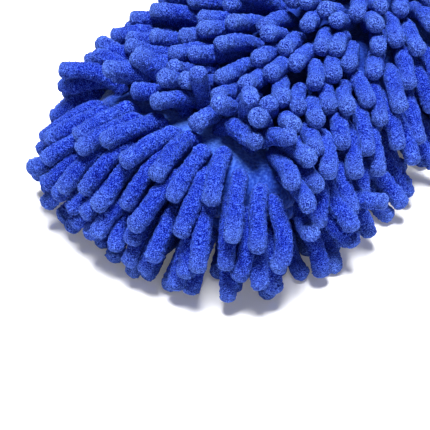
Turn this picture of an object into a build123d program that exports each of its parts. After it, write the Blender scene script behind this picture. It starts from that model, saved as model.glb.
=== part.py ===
from build123d import *
import math
import os

# A chenille wash mitt lying on its palm side, in millimetres.
# +X runs from the wrist cuff to the closed fingertip end, +Y across the mitt, +Z up.
# The origin is under the middle of the whole mitt, on the surface that it lies on.

# Overall size
overall_length = 290.0
pile_height = 26.0            # how far the chenille fingers stand off the backing cloth
under_pile = 15.0             # the fingers underneath are squashed to this

# Stuffed body, measured to the outer face of the backing cloth
body_length = 203.0
body_half_width = 55.0
neck_half_width = 49.0
shoulder_length = 50.0        # from the neck to the full width
body_edge_height = 28.5       # height of the side walls before rounding
body_mid_height = 35.0        # height along the middle line
tip_corner_radius = 42.0
neck_corner_radius = 20.0
shoulder_radius = 150.0
edge_round = 13.8             # rounding of the top and bottom edges
seam_above_round = 1.5        # from the palm's rounding up to the seam
corner_tolerance = 0.3        # corners this near to an x value belong to it

# Layers, from the outside in
layer_gap = 0.3
shell_thickness = 1.2
foam_thickness = 5.0
lining_thickness = 0.8

# Chenille rows
middle_rows = 13
end_row_width = 12.0          # width of backing that the first and last rows cover
row_gap = 0.3
end_row_overreach = 1.0       # the first and last strips are cut this far past the pile

# Perimeter seam, turned to the inside
seam_tape_thickness = 2.0
seam_tape_width = 8.0
thread_width = 0.8
thread_height = 0.5
thread_clearance = 0.05
curve_clearance = 0.2         # straight stitches need this much more on the cuff's round sides
seam_stitch_length = 3.0
seam_stitch_pitch = 5.5

# Ribbed wrist cuff, a tube folded double over an elastic
cuff_width = 88.0
cuff_height = 24.0
cuff_ply = 1.5
cuff_ply_gap = 0.8
cuff_inside_body = 14.0       # how far the cuff reaches into the body
elastic_width = 12.0
elastic_thickness = 0.4
elastic_from_mouth = 2.5
hem_stitch_from_mouth = 21.0
hem_stitch_pitch = 6.0
hem_stitch_length = 3.0
join_tape_width = 5.0
join_tape_thickness = 0.8

# Hanging loop of webbing and blank care label, both sewn to the cuff's side seams
loop_width = 10.0
loop_thickness = 1.2
loop_drop = 27.0
loop_bulge = 12.0             # outside width of the loop at its widest
loop_from_mouth = 17.0        # from the cuff's mouth to the loop's middle
tack_length = 1.6             # short, because the cuff's side is round
tack_pitch = 1.5
tack_count = 4
label_width = 18.0
label_drop = 25.0
label_thickness = 0.5
label_from_mouth = 14.0
side_clearance = 0.9          # between the cuff's side and what hangs on it

# Derived places
tip_x = overall_length / 2
mouth_x = -overall_length / 2
body_front_x = tip_x - pile_height
body_back_x = body_front_x - body_length
body_bottom_z = under_pile
crown_sag = body_mid_height - body_edge_height
crown_radius = (body_half_width**2 + crown_sag**2) / (2 * crown_sag)
crown_axis_z = body_bottom_z + body_mid_height - crown_radius
seam_z = body_bottom_z + edge_round + seam_above_round
foam_depth = shell_thickness + layer_gap
lining_depth = foam_depth + foam_thickness + layer_gap
pocket_depth = lining_depth + lining_thickness
cuff_wall = 2 * cuff_ply + cuff_ply_gap
cuff_inner_x = body_back_x + cuff_inside_body
join_room = join_tape_thickness + thread_height + 4 * layer_gap
room = 2 * overall_length     # larger than the mitt in every direction


def panel_outline(grow):
    """Plan of the body: round at the tip, narrowing at the neck, moved out by grow."""
    shoulder_x = body_back_x + shoulder_length
    corners = [
        (body_back_x, -neck_half_width),
        (shoulder_x, -body_half_width),
        (body_front_x, -body_half_width),
        (body_front_x, body_half_width),
        (shoulder_x, body_half_width),
        (body_back_x, neck_half_width),
    ]
    panel = make_face(Polyline(*corners, close=True))
    for x, radius in (
        (body_front_x, tip_corner_radius),
        (shoulder_x, shoulder_radius),
        (body_back_x, neck_corner_radius),
    ):
        pair = [corner for corner in panel.vertices() if abs(corner.X - x) < corner_tolerance]
        panel = fillet(pair, radius)
    if grow == 0:
        return panel
    return offset(panel, grow)


def pillow(grow):
    """Solid whose skin lies grow outside the backing cloth's outer face."""
    wall_height = body_mid_height + 2 * grow
    block = extrude(panel_outline(grow), wall_height, dir=(0, 0, 1))
    block = Pos(0, 0, body_bottom_z - grow) * block
    crown = Rot(0, 90, 0) * Cylinder(crown_radius + grow, room)
    block = block & (Pos(0, 0, crown_axis_z) * crown)
    rim = block.edges().filter_by(Axis.Z, reverse=True)
    return fillet(rim, edge_round + grow)


def slab(low_x, high_x, low_z, high_z):
    """Box across the whole mitt between two x values and two z values."""
    block = Box(high_x - low_x, room, high_z - low_z, align=(Align.MIN, Align.CENTER, Align.MIN))
    return Pos(low_x, 0, low_z) * block


def above(level):
    """Everything higher than a level."""
    return slab(-room, room, level, room)


def below(level):
    """Everything lower than a level."""
    return slab(-room, room, -room, level)


def stadium_tube(width, height, wall, low_x, high_x):
    """Tube along X, or a solid bar when wall is zero, centred on the seam's height."""
    ring = SlotOverall(width, height)
    if wall > 0:
        ring = ring - SlotOverall(width - 2 * wall, height - 2 * wall)
    tube = extrude(Plane.YZ * ring, high_x - low_x, dir=(1, 0, 0))
    return Pos(low_x, 0, seam_z) * tube


def neck_hole(clearance):
    """What the cuff fills where it passes through the body, with clearance all round."""
    width = cuff_width + 2 * clearance
    height = cuff_height + 2 * clearance
    return stadium_tube(width, height, 0, -room / 2, cuff_inner_x + layer_gap)


def layer(outer_depth, inner_depth, clearance):
    """Skin between two depths under the outer face, with the cuff's hole at the neck."""
    return pillow(-outer_depth) - pillow(-inner_depth) - neck_hole(clearance)


def lining():
    """Lining of the hand pocket, which ends where the cuff does."""
    skin = pillow(-lining_depth) - pillow(-pocket_depth)
    return skin & slab(cuff_inner_x + 2 * layer_gap, room, -room, room)


def largest(shape):
    """The one solid that a piece is meant to be."""
    return shape.solids().sort_by(SortBy.VOLUME)[-1]


def row_edges():
    """x values of the edges between rows, from the cuff to the tip."""
    first = body_back_x + end_row_width
    last = body_front_x - end_row_width
    pitch = (last - first) / middle_rows
    middle = [first + pitch * i for i in range(middle_rows + 1)]
    lowest = body_back_x - pile_height - end_row_overreach
    highest = tip_x + end_row_overreach
    return [lowest] + middle + [highest]


def chenille_rows():
    """The pile, one strip of fingers for each sewn row, on the top and on the palm side."""
    outer = pillow(pile_height) & above(0)
    inner = pillow(layer_gap)
    pile = outer - inner - neck_hole(layer_gap)
    edges = row_edges()
    rows = {}
    for number, (low_x, high_x) in enumerate(zip(edges, edges[1:]), start=1):
        low = low_x + row_gap / 2
        high = high_x - row_gap / 2
        top = pile & slab(low, high, seam_z + row_gap / 2, room)
        bottom = pile & slab(low, high, 0, seam_z - row_gap / 2)
        rows[f"chenille_row_top_{number:02d}"] = top
        rows[f"chenille_row_bottom_{number:02d}"] = bottom
    return rows


def two_halves(skin, gap):
    """A skin's top and palm-side halves, with a gap between them at the seam."""
    return largest(skin & above(seam_z + gap / 2)), largest(skin & below(seam_z - gap / 2))


def seam_tape():
    """Binding round the seam allowance, a flat flange that points inwards."""
    outer = panel_outline(-foam_depth)
    inner = panel_outline(-foam_depth - seam_tape_width)
    flange = extrude(outer - inner, seam_tape_thickness, dir=(0, 0, 1))
    flange = Pos(0, 0, seam_z - seam_tape_thickness / 2) * flange
    return largest(flange - neck_hole(join_room))


def stitch(length, place):
    """One straight stitch, which lies along X before it is placed."""
    return place * Box(length, thread_width, thread_height)


def seam_thread():
    """Stitches along the inner margin of the seam tape."""
    margin = pocket_depth + thread_width + thread_clearance
    path = panel_outline(-margin).face().outer_wire()
    height = seam_z + seam_tape_thickness / 2 + thread_clearance + thread_height / 2
    count = int(path.length / seam_stitch_pitch)
    stitches = []
    for i in range(count):
        point = path.position_at(i / count)
        heading = path.tangent_at(i / count)
        beside_cuff = point.X < cuff_inner_x + seam_stitch_pitch
        if beside_cuff and abs(point.Y) < cuff_width / 2 + seam_stitch_pitch:
            continue
        turn = math.degrees(math.atan2(heading.Y, heading.X))
        place = Pos(point.X, point.Y, height) * Rot(0, 0, turn)
        stitches.append(stitch(seam_stitch_length, place))
    return Compound(children=stitches)


def cuff_rib():
    """Knitted tube folded back on itself at the mouth, with a slot for the elastic."""
    outside = stadium_tube(cuff_width, cuff_height, cuff_wall, mouth_x, cuff_inner_x)
    slot_width = cuff_width - 2 * cuff_ply
    slot_height = cuff_height - 2 * cuff_ply
    slot = stadium_tube(slot_width, slot_height, cuff_ply_gap, mouth_x + cuff_ply, cuff_inner_x)
    return outside - slot


def cuff_elastic():
    """Flat elastic band in the slot between the cuff's two plies."""
    inset = 2 * cuff_ply + (cuff_ply_gap - elastic_thickness)
    low_x = mouth_x + elastic_from_mouth
    return stadium_tube(
        cuff_width - inset, cuff_height - inset, elastic_thickness, low_x, low_x + elastic_width
    )


def join_tape():
    """Tape round the cuff's inner end, in the hand pocket."""
    grow = 2 * (layer_gap + join_tape_thickness)
    high_x = cuff_inner_x - thread_clearance
    return stadium_tube(
        cuff_width + grow, cuff_height + grow, join_tape_thickness, high_x - join_tape_width, high_x
    )


def stitches_round(width, height, x, length, pitch):
    """Stitches lying along a stadium-shaped ring about the X axis."""
    path = SlotOverall(width, height).face().outer_wire()
    count = int(path.length / pitch)
    stitches = []
    for i in range(count):
        point = path.position_at(i / count)
        heading = path.tangent_at(i / count)
        turn = math.degrees(math.atan2(heading.Y, heading.X))
        place = Pos(x, point.X, seam_z + point.Y) * Rot(turn, 0, 0) * Rot(0, 0, 90)
        stitches.append(stitch(length, place))
    return Compound(children=stitches)


def hem_thread():
    """Stitches round the cuff that close the elastic's channel."""
    lift = thread_height + 2 * thread_clearance + curve_clearance
    x = mouth_x + hem_stitch_from_mouth
    return stitches_round(cuff_width + lift, cuff_height + lift, x, hem_stitch_length, hem_stitch_pitch)


def join_thread():
    """Stitches through the join tape, round the cuff's inner end."""
    tape = 2 * (layer_gap + join_tape_thickness)
    lift = tape + thread_height + 2 * thread_clearance + curve_clearance
    x = cuff_inner_x - join_tape_width / 2
    return stitches_round(cuff_width + lift, cuff_height + lift, x, hem_stitch_length, hem_stitch_pitch)


def teardrop(width, drop):
    """Outline of the hanging loop in the YZ plane, its point up at the origin."""
    radius = width / 2
    centre = Vector(0, -(drop - radius))
    reach = drop - radius
    lean = math.degrees(math.asin(radius / reach))
    right = centre + Vector(radius, 0).rotate(Axis.Z, lean)
    left = centre + Vector(-radius, 0).rotate(Axis.Z, -lean)
    lowest = centre + Vector(0, -radius)
    outline = [Line((0, 0), right), ThreePointArc(right, lowest, left), Line(left, (0, 0))]
    return make_face(Wire(outline))


def hang_loop():
    """Webbing folded into a teardrop, hanging from the cuff's side."""
    outside = teardrop(loop_bulge, loop_drop)
    eye = offset(outside, -loop_thickness)
    strap = extrude(Plane.YZ * (outside - eye), loop_width / 2, both=True)
    y = cuff_width / 2 + side_clearance + loop_thickness + thread_height
    return Pos(mouth_x + loop_from_mouth, y, seam_z) * strap


def loop_bar_tack():
    """Dense short stitches that hold the loop's ends to the cuff."""
    y = cuff_width / 2 + thread_clearance + thread_height / 2
    first_x = mouth_x + loop_from_mouth - tack_pitch * (tack_count - 1) / 2
    bars = []
    for i in range(tack_count):
        place = Pos(first_x + tack_pitch * i, y, seam_z) * Rot(90, 0, 0) * Rot(0, 0, 90)
        bars.append(stitch(tack_length, place))
    return Compound(children=bars)


def care_label():
    """Blank flap of cloth, hanging from the cuff's other side."""
    y = -(cuff_width / 2 + side_clearance + label_thickness / 2)
    flap = Box(label_width, label_thickness, label_drop, align=(Align.CENTER, Align.CENTER, Align.MAX))
    return Pos(mouth_x + label_from_mouth, y, seam_z) * flap


def write(name, shape):
    """Saves one piece under its own name."""
    shape.label = name
    export_step(shape, f"parts/{name}.step")


os.makedirs("parts", exist_ok=True)

for row_name, row in chenille_rows().items():
    write(row_name, row)

top_shell, bottom_shell = two_halves(layer(0, shell_thickness, layer_gap), layer_gap)
write("top_shell", top_shell)
write("bottom_shell", bottom_shell)

flange_gap = seam_tape_thickness + 2 * layer_gap
foam = layer(foam_depth, foam_depth + foam_thickness, join_room)
top_foam, bottom_foam = two_halves(foam, flange_gap)
write("top_foam_pad", top_foam)
write("bottom_foam_pad", bottom_foam)

top_lining, bottom_lining = two_halves(lining(), flange_gap)
write("top_lining", top_lining)
write("bottom_lining", bottom_lining)

write("perimeter_seam_tape", seam_tape())
write("perimeter_seam_thread", seam_thread())
write("cuff_rib", cuff_rib())
write("cuff_elastic", cuff_elastic())
write("cuff_join_tape", join_tape())
write("cuff_join_thread", join_thread())
write("cuff_hem_thread", hem_thread())
write("hang_loop", hang_loop())
write("loop_bar_tack", loop_bar_tack())
write("care_label", care_label())
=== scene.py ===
import functools
import itertools
import math

import bpy
import numpy as np
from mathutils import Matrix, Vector


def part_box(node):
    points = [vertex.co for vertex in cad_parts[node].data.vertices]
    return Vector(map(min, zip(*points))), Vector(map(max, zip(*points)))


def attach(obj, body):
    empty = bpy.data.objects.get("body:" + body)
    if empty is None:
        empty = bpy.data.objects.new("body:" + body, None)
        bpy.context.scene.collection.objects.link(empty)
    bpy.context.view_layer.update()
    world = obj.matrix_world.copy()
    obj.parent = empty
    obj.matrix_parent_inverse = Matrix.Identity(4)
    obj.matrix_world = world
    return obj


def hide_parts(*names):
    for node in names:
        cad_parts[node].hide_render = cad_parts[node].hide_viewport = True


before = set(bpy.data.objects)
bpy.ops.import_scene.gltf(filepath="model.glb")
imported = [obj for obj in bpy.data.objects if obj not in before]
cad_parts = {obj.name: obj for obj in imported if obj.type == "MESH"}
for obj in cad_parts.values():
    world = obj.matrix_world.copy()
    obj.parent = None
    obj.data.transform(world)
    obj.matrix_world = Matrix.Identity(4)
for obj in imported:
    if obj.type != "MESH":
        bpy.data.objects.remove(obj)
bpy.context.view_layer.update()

# Sizes, in millimetres; every mesh is turned into metres when it is made
MM = 0.001
BODY = "mitt"


def box_mm(node):
    """Lowest and highest corners of a CAD node."""
    low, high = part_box(node)
    return np.array(low) / MM, np.array(high) / MM


SHELL_LOW, SHELL_HIGH = box_mm("bottom_shell")
SHELL_TOP_Z = box_mm("top_shell")[1][2]
SEAM_Z = box_mm("perimeter_seam_tape")[0][2] + 1.0
PALM_Z = SHELL_LOW[2]
TIP_X = box_mm("top_shell")[1][0]
NECK_X = box_mm("top_shell")[0][0]
HALF_WIDTH = SHELL_HIGH[1]
CUFF_LOW, CUFF_HIGH = box_mm("cuff_rib")
CUFF_HALF_HEIGHT = (CUFF_HIGH[2] - CUFF_LOW[2]) / 2
ROW_COUNT = sum(1 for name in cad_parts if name.startswith("chenille_row_top_"))
FOAM_DEPTH = SHELL_TOP_Z - box_mm("top_foam_pad")[1][2]
LINING_DEPTH = SHELL_TOP_Z - box_mm("top_lining")[1][2]
LAYER_GAP = 0.3
SHELL_THICKNESS = FOAM_DEPTH - LAYER_GAP
FOAM_THICKNESS = LINING_DEPTH - FOAM_DEPTH - LAYER_GAP
LINING_THICKNESS = 0.8
CUFF_PLY = 1.5
CUFF_WALL = 3.8
RIB_PITCH = 6.4            # two ribs in each
ELASTIC_THICKNESS = 0.4
TAPE_THICKNESS = 0.8
SEAM_TAPE_WIDTH = 8.0
LOOP_THICKNESS = 1.2
LABEL_THICKNESS = 0.35
SEAM_TUCK = 0.9            # how far the cloth is drawn in along the seam
BACKING_CLEARANCE = -0.15  # the backing's rim lies this far inside the cuff's outer face
FOAM_CLEARANCE = 4.0       # the foam stops this far from that face
LINING_CLEARANCE = 0.6     # and the lining this far past the cuff's inner end
UP = [0.0, 0.0, 1.0]

# Body shape that the CAD boxes do not say
TIP_CORNER = 40.0
NECK_CORNER = 20.0
NECK_HALF_WIDTH = HALF_WIDTH - 6.0
SHOULDER_LENGTH = 50.0
EDGE_ROUND = 13.8
CROWN_SAG = 6.5

# Fingers
FINGER_RADIUS = 3.75
FINGER_LENGTH = 34.0
FINGER_NODES = 8
LENGTH_SPREAD = 0.04
RADIUS_SPREAD = 0.03
ROOT_DEPTH = 0.8           # a finger starts this far under the skin
TOUCH = 0.98               # fingers touch at this share of their radii
PALM_PRESS = 0.36          # and at this much less under the palm, which the mitt's weight presses
FALL = 0.26                # most that a free point is lowered by in each step
ACROSS_PITCH = 8.4
ROW_ZIGZAG = 3.0           # neighbours in a row sit this far apart along the mitt
RIM_MARGIN = 3.5           # no fingers this near to the seam
CUFF_MARGIN = 1.5          # nor this near to the cuff
PART_INSET = 19.0          # the pile parts between two rows, about this far from the tip
HELD_UP = 0.25             # share of the weight that its neighbours carry on the top
SEED = 11
NUB_HEIGHT = 0.20
TIP_HIGHLIGHT_LENGTH = 12.0            # painted highlight: fingers are painted paler over this length before the tip
FLOOR_GAP = 0.05
CLOTH_SPECULAR = 0.06
RING_SQUEEZE = 1.7         # the nubs are shorter along a finger than round it

# Stage and camera; lengths in metres
FLOOR_SIZE = 8.0
FLOOR_GLOW = 0.09
SKY_STRENGTH = 0.10
VIEW_AZIMUTH = math.radians(126.0)
VIEW_ELEVATION = math.radians(45.0)
VIEW_DISTANCE = 0.6
VIEW_TARGET = Vector((0.0892, 0.0114, 0.0))
VIEW_WIDTH = 0.1932        # width of the picture at the target

# Body shape: a plump pillow, as a distance function
CROWN_RADIUS = (HALF_WIDTH**2 + CROWN_SAG**2) / (2 * CROWN_SAG)


def within_both(first, second, rounding):
    """Signed distance to what lies inside two bounds, where their corner is rounded."""
    outside = np.hypot(np.maximum(first, 0), np.maximum(second, 0))
    return np.minimum(np.maximum(first, second), 0) + outside - rounding


def half_width_at(x):
    """Half width of the plan, which narrows towards the neck."""
    share = np.clip((x - NECK_X) / SHOULDER_LENGTH, 0.0, 1.0)
    return NECK_HALF_WIDTH + (HALF_WIDTH - NECK_HALF_WIDTH) * share * (2 - share)


def plan_distance(x, y):
    """Signed distance to the plan outline, negative inside."""
    middle_x = (TIP_X + NECK_X) / 2
    corner = np.where(x > middle_x, TIP_CORNER, NECK_CORNER)
    reach_x = np.abs(x - middle_x) - (TIP_X - NECK_X) / 2 + corner
    reach_y = np.abs(y) - half_width_at(x) + corner
    return within_both(reach_x, reach_y, corner)


def plan_outward(x, y):
    """Unit direction, in plan, straight away from the outline."""
    step = 0.05
    gx = plan_distance(x + step, y) - plan_distance(x - step, y)
    gy = plan_distance(x, y + step) - plan_distance(x, y - step)
    size = np.maximum(np.hypot(gx, gy), 1e-9)
    return gx / size, gy / size


def top_height(y):
    """Height of the crowned top over the floor."""
    reach = np.minimum(np.abs(y), HALF_WIDTH)
    return SHELL_TOP_Z - CROWN_RADIUS + np.sqrt(CROWN_RADIUS**2 - reach**2)


def body_distance(points):
    """Signed distance to the body's skin."""
    x, y, z = points[..., 0], points[..., 1], points[..., 2]
    top = top_height(y)
    side = plan_distance(x, y) + EDGE_ROUND
    level = np.abs(z - (top + PALM_Z) / 2) - (top - PALM_Z) / 2 + EDGE_ROUND
    return within_both(side, level, EDGE_ROUND)


def cuff_distance(points):
    """Signed distance to the cuff's outer face."""
    reach_y = np.maximum(np.abs(points[..., 1]) - (CUFF_HIGH[1] - CUFF_HALF_HEIGHT), 0)
    section = np.hypot(reach_y, points[..., 2] - SEAM_Z) - CUFF_HALF_HEIGHT
    middle_x = (CUFF_LOW[0] + CUFF_HIGH[0]) / 2
    ends = np.abs(points[..., 0] - middle_x) - (CUFF_HIGH[0] - CUFF_LOW[0]) / 2
    return within_both(section, ends, 0.0)


def mitt_distance(points):
    """Signed distance to the body with its cuff."""
    return np.minimum(body_distance(points), cuff_distance(points))


def surface_normal(distance, points):
    """Unit normal of a distance function."""
    step = 0.2
    parts = []
    for axis in range(3):
        shift = np.zeros(3)
        shift[axis] = step
        parts.append(distance(points + shift) - distance(points - shift))
    normal = np.stack(parts, axis=-1)
    return normal / np.maximum(np.linalg.norm(normal, axis=-1, keepdims=True), 1e-9)


def wall_height(y, side):
    """Height of the upright wall between the seam and the rounded edge."""
    if side > 0:
        return np.maximum(top_height(y) - EDGE_ROUND - SEAM_Z, 0)
    return np.full(np.shape(y), SEAM_Z - PALM_Z - EDGE_ROUND)


def panel_margin(x, y, side):
    """How far the flat panel reaches past the plan outline, beside a point."""
    _, away_y = plan_outward(x, y)
    rim_y = y - away_y * plan_distance(x, y)
    return wall_height(rim_y, side) + EDGE_ROUND * (math.pi / 2 - 1)


def wrap(x, y, side):
    """Point on the body for a point of the flat panel. side is 1 for the top, -1 for the palm."""
    margin = panel_margin(x, y, side)
    wrapped = margin + EDGE_ROUND
    wall = wrapped - EDGE_ROUND * math.pi / 2
    inside = margin - plan_distance(x, y)
    angle = np.clip((wrapped - inside) / EDGE_ROUND, 0, math.pi / 2)
    inset = np.where(inside < wrapped, EDGE_ROUND * (1 - np.sin(angle)), inside - margin)
    away_x, away_y = plan_outward(x, y)
    move = (inside - margin) - inset
    px = x + away_x * move
    py = y + away_y * move
    drop = EDGE_ROUND * (1 - np.cos(angle)) + np.clip(wall - inside, 0, None)
    if side > 0:
        pz = top_height(py) - drop
    else:
        pz = PALM_Z + drop
    return np.stack([px, py, pz], axis=-1), inside


# Fingers: where they are sewn, and how they fall
def flow(points, scale, seed):
    """Smooth vector field from a few sine waves."""
    waves, evened = 5, 2.2
    draw = np.random.default_rng(seed)
    total = np.zeros(points.shape)
    for _ in range(waves):
        wave = draw.normal(size=3) / scale
        phase = draw.uniform(0, 2 * math.pi)
        amount = draw.normal(size=3)
        total += np.sin(points @ wave + phase)[..., None] * amount
    return total / evened


def row_centres():
    """x of each sewn row in the flat panel, with the number of the CAD row it belongs to."""
    first_low, _ = box_mm("chenille_row_top_02")
    last_low, _ = box_mm(f"chenille_row_top_{ROW_COUNT:02d}")
    low = first_low[0]
    rows_between = ROW_COUNT - 2
    pitch = (last_low[0] - low) / rows_between
    centres = []
    for index in range(-3, ROW_COUNT + 2):
        number = min(max(index + 2, 1), ROW_COUNT)
        centres.append((low + pitch * (index + 0.5), number))
    return centres


def row_number(x):
    """Number of the CAD row that holds each x of the flat panel."""
    centres = row_centres()
    nearest = np.argmin(np.abs(np.asarray(x)[:, None] - [centre for centre, _ in centres]), axis=1)
    return np.array([number for _, number in centres])[nearest]


def sewn_fingers(side):
    """Root points and row numbers of one panel's fingers, and the random source for the rest."""
    row_jitter, across_jitter = 1.0, 0.9
    widest_wrap = 30.0         # the flat panel reaches less than this past the body's width
    bare_gap = 7.0             # the rim's line fills gaps wider than this
    draw = np.random.default_rng(SEED + side)
    count = int(2 * (HALF_WIDTH + widest_wrap) / ACROSS_PITCH)
    flat_x, flat_y = [], []
    for order, (x, _) in enumerate(row_centres()):
        y = (np.arange(count) - (count - 1) / 2 + (order % 2) * 0.5) * ACROSS_PITCH
        zigzag = (np.arange(count) % 2 - 0.5) * ROW_ZIGZAG
        flat_x.append(x + zigzag + draw.normal(scale=row_jitter, size=count))
        flat_y.append(y + draw.normal(scale=across_jitter, size=count))
    flat_x = np.concatenate(flat_x)
    flat_y = np.concatenate(flat_y)
    _, inside = wrap(flat_x, flat_y, side)
    flat_x, flat_y = flat_x[inside > RIM_MARGIN], flat_y[inside > RIM_MARGIN]
    # a last line follows the seam wherever the rows leave it bare
    turn = np.linspace(0, 2 * math.pi, 2400)
    start_x, run_x, run_y = rays_to_edge(turn, lambda x, y: panel_margin(x, y, side) - RIM_MARGIN - 1)
    travelled = np.cumsum(np.hypot(np.diff(start_x + run_x), np.diff(run_y)))
    places = np.arange(0, travelled[-1], ACROSS_PITCH)
    rim_x = np.interp(places, travelled, (start_x + run_x)[1:])
    rim_y = np.interp(places, travelled, run_y[1:])
    away = np.hypot(rim_x[:, None] - flat_x[None], rim_y[:, None] - flat_y[None]).min(axis=1)
    flat_x = np.concatenate([flat_x, rim_x[away > bare_gap]])
    flat_y = np.concatenate([flat_y, rim_y[away > bare_gap]])
    point, _ = wrap(flat_x, flat_y, side)
    by_cuff = cuff_distance(point) < CUFF_MARGIN
    return point[~by_cuff], row_number(flat_x[~by_cuff]), draw


def unit(v):
    """Vectors scaled to length 1."""
    return v / np.maximum(np.linalg.norm(v, axis=-1, keepdims=True), 1e-9)


def part_line():
    """x of the parting: halfway between two sewn rows."""
    centres = np.array([x for x, _ in row_centres()])
    halfway = (centres[1:] + centres[:-1]) / 2
    return halfway[np.argmin(np.abs(halfway - (TIP_X - PART_INSET)))]


def hump(offset, width, power=2):
    """Bell curve: 1 where offset is 0, falling towards 0 past width."""
    return np.exp(-(offset / width) ** power)


def starting_directions(roots, side, draw):
    """Directions in which the fingers leave the skin, and the skin's normals there."""
    lean_scale, smooth_lean, random_lean = 26.0, 0.20, 0.14
    to_tip, to_sides, palm_outward = 0.75, 0.85, 1.2
    part_lean, part_width = 0.22, 16.0
    normal = surface_normal(body_distance, roots)
    lean = flow(roots, lean_scale, SEED + 5) * smooth_lean + draw.normal(scale=random_lean, size=roots.shape)
    if side > 0:
        # brushed towards the tip and out to both sides, and back over the neck
        brushed = np.clip((roots[:, 0] - NECK_X - 15.0) / 32.0, -0.5, 1.0)
        lean[:, 0] += to_tip * brushed
        lean[:, 1] += to_sides * roots[:, 1] / HALF_WIDTH
        # the rows on both sides of the parting lean away from it, least near the mitt's sides
        from_part = roots[:, 0] - part_line()
        lean += draw.normal(scale=part_lean, size=roots.shape) * hump(from_part, part_width)[:, None]
        wider = (1 - 0.1 * roots[:, 1] / HALF_WIDTH) * hump(roots[:, 1], 46.0, 4)
        lean[:, 0] -= 1.45 * wider * hump(from_part + 8.0, 8.0)
        lean[:, 0] += 0.8 * wider * hump(from_part - 6.9, 6.0)
    else:
        outward_x, outward_y = plan_outward(roots[:, 0], roots[:, 1])
        lean[:, 0] += outward_x * palm_outward
        lean[:, 1] += outward_y * palm_outward
    lean -= normal * np.sum(lean * normal, axis=-1, keepdims=True)
    return unit(normal + lean), normal


def neighbour_pairs(points, owner, reach):
    """Pairs of points of different fingers nearer than reach, found on a grid of cells."""
    cell = np.floor(points / reach).astype(np.int64)
    cell -= cell.min(axis=0)
    size = cell.max(axis=0) + 3
    key = (cell[:, 0] * size[1] + cell[:, 1]) * size[2] + cell[:, 2]
    order = np.argsort(key, kind="stable")
    sorted_key = key[order]
    pairs = []
    for dx, dy, dz in itertools.product((-1, 0, 1), repeat=3):
        other = key + (dx * size[1] + dy) * size[2] + dz
        start = np.searchsorted(sorted_key, other, side="left")
        length = np.searchsorted(sorted_key, other, side="right") - start
        first = np.repeat(np.arange(len(points)), length)
        offset = np.arange(length.sum()) - np.repeat(np.cumsum(length) - length, length)
        second = order[np.repeat(start, length) + offset]
        good = (first < second) & (owner[first] != owner[second])
        pairs.append((first[good], second[good]))
    first, second = map(np.concatenate, zip(*pairs))
    gap = points[first] - points[second]
    close = np.einsum("ij,ij->i", gap, gap) < reach**2
    return first[close], second[close]


def push_apart(points, first, second, reach):
    """Moves each pair of points that are nearer than reach half way apart, in place."""
    gap = points[first] - points[second]
    distance = np.maximum(np.linalg.norm(gap, axis=1), 1e-6)
    overlap = np.maximum(reach - distance, 0)
    push = gap / distance[:, None] * (overlap * 0.5)[:, None]
    touching = overlap > 0
    count = len(points)
    hits = np.bincount(first, touching, count) + np.bincount(second, touching, count)
    total = np.empty_like(points)
    for axis in range(3):
        total[:, axis] = np.bincount(first, push[:, axis], count)
        total[:, axis] -= np.bincount(second, push[:, axis], count)
    points += total / np.maximum(hits, 1)[:, None] ** 0.6


def relax(chain, direction, length, radius, touch, fall, steps):
    """Lets chains of points fall, bend and push each other apart until they lie still."""
    kept_motion, longest_step = 0.82, 1.2
    root_hold, bend = 0.7, 0.09             # how firmly a finger leaves its root, and stays straight
    fold, fold_bend, most_bend = 0.93, 0.8, 0.4     # joints past this cosine resist more, up to a limit
    body_touch = 0.92                       # share of the radius that is held off the mitt
    pair_margin, pair_every = 4.0, 8        # neighbours are found this far off, once in so many steps
    count, nodes, _ = chain.shape
    segment = (length / (nodes - 1))[:, None]
    owner = np.repeat(np.arange(count), nodes)
    node_radius = np.repeat(radius * touch, nodes)
    before = chain.copy()
    weight = ((nodes - np.arange(nodes)) / nodes) ** 1.3
    lowest = (radius + NUB_HEIGHT)[:, None]
    for step in range(steps):
        if step % pair_every == 0:
            flat = chain.reshape(-1, 3)
            first, second = neighbour_pairs(flat, owner, 2 * FINGER_RADIUS + pair_margin)
            root_pair = (first % nodes == 0) & (second % nodes == 0)
            first, second = first[~root_pair], second[~root_pair]
            reach = node_radius[first] + node_radius[second]
        motion = np.clip((chain - before) * kept_motion, -longest_step, longest_step)
        before = chain.copy()
        chain[:, 1:] += motion[:, 1:]
        chain[:, 2:, 2] -= fall[:, None] * weight[2:]
        base = chain[:, 0] + direction * segment
        chain[:, 1] += root_hold * (base - chain[:, 1])
        chain[:, 1] = chain[:, 0] + unit(chain[:, 1] - chain[:, 0]) * segment
        for j in range(2, nodes):
            before_it = unit(chain[:, j - 1] - chain[:, j - 2])
            after_it = unit(chain[:, j] - chain[:, j - 1])
            straight = np.sum(before_it * after_it, axis=1, keepdims=True)
            stiff = bend + np.clip((fold - straight) * fold_bend, 0, most_bend)
            ahead = chain[:, j - 1] + before_it * segment
            chain[:, j] += stiff * (ahead - chain[:, j])
            chain[:, j] = chain[:, j - 1] + unit(chain[:, j] - chain[:, j - 1]) * segment
        flat = chain.reshape(-1, 3)
        for _ in range(3):
            push_apart(flat, first, second, reach)
        depth = node_radius * body_touch - mitt_distance(flat)
        inside = depth > 0
        inside[::nodes] = False
        if inside.any():
            flat[inside] += surface_normal(mitt_distance, flat[inside]) * depth[inside][:, None]
        chain = flat.reshape(count, nodes, 3)
        chain[..., 2] = np.maximum(chain[..., 2], lowest)
        chain[:, 0] = before[:, 0]
    return np.concatenate([chain[:, :2], blur(chain, 1, 1, False)[:, 2:]], axis=1)


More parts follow.
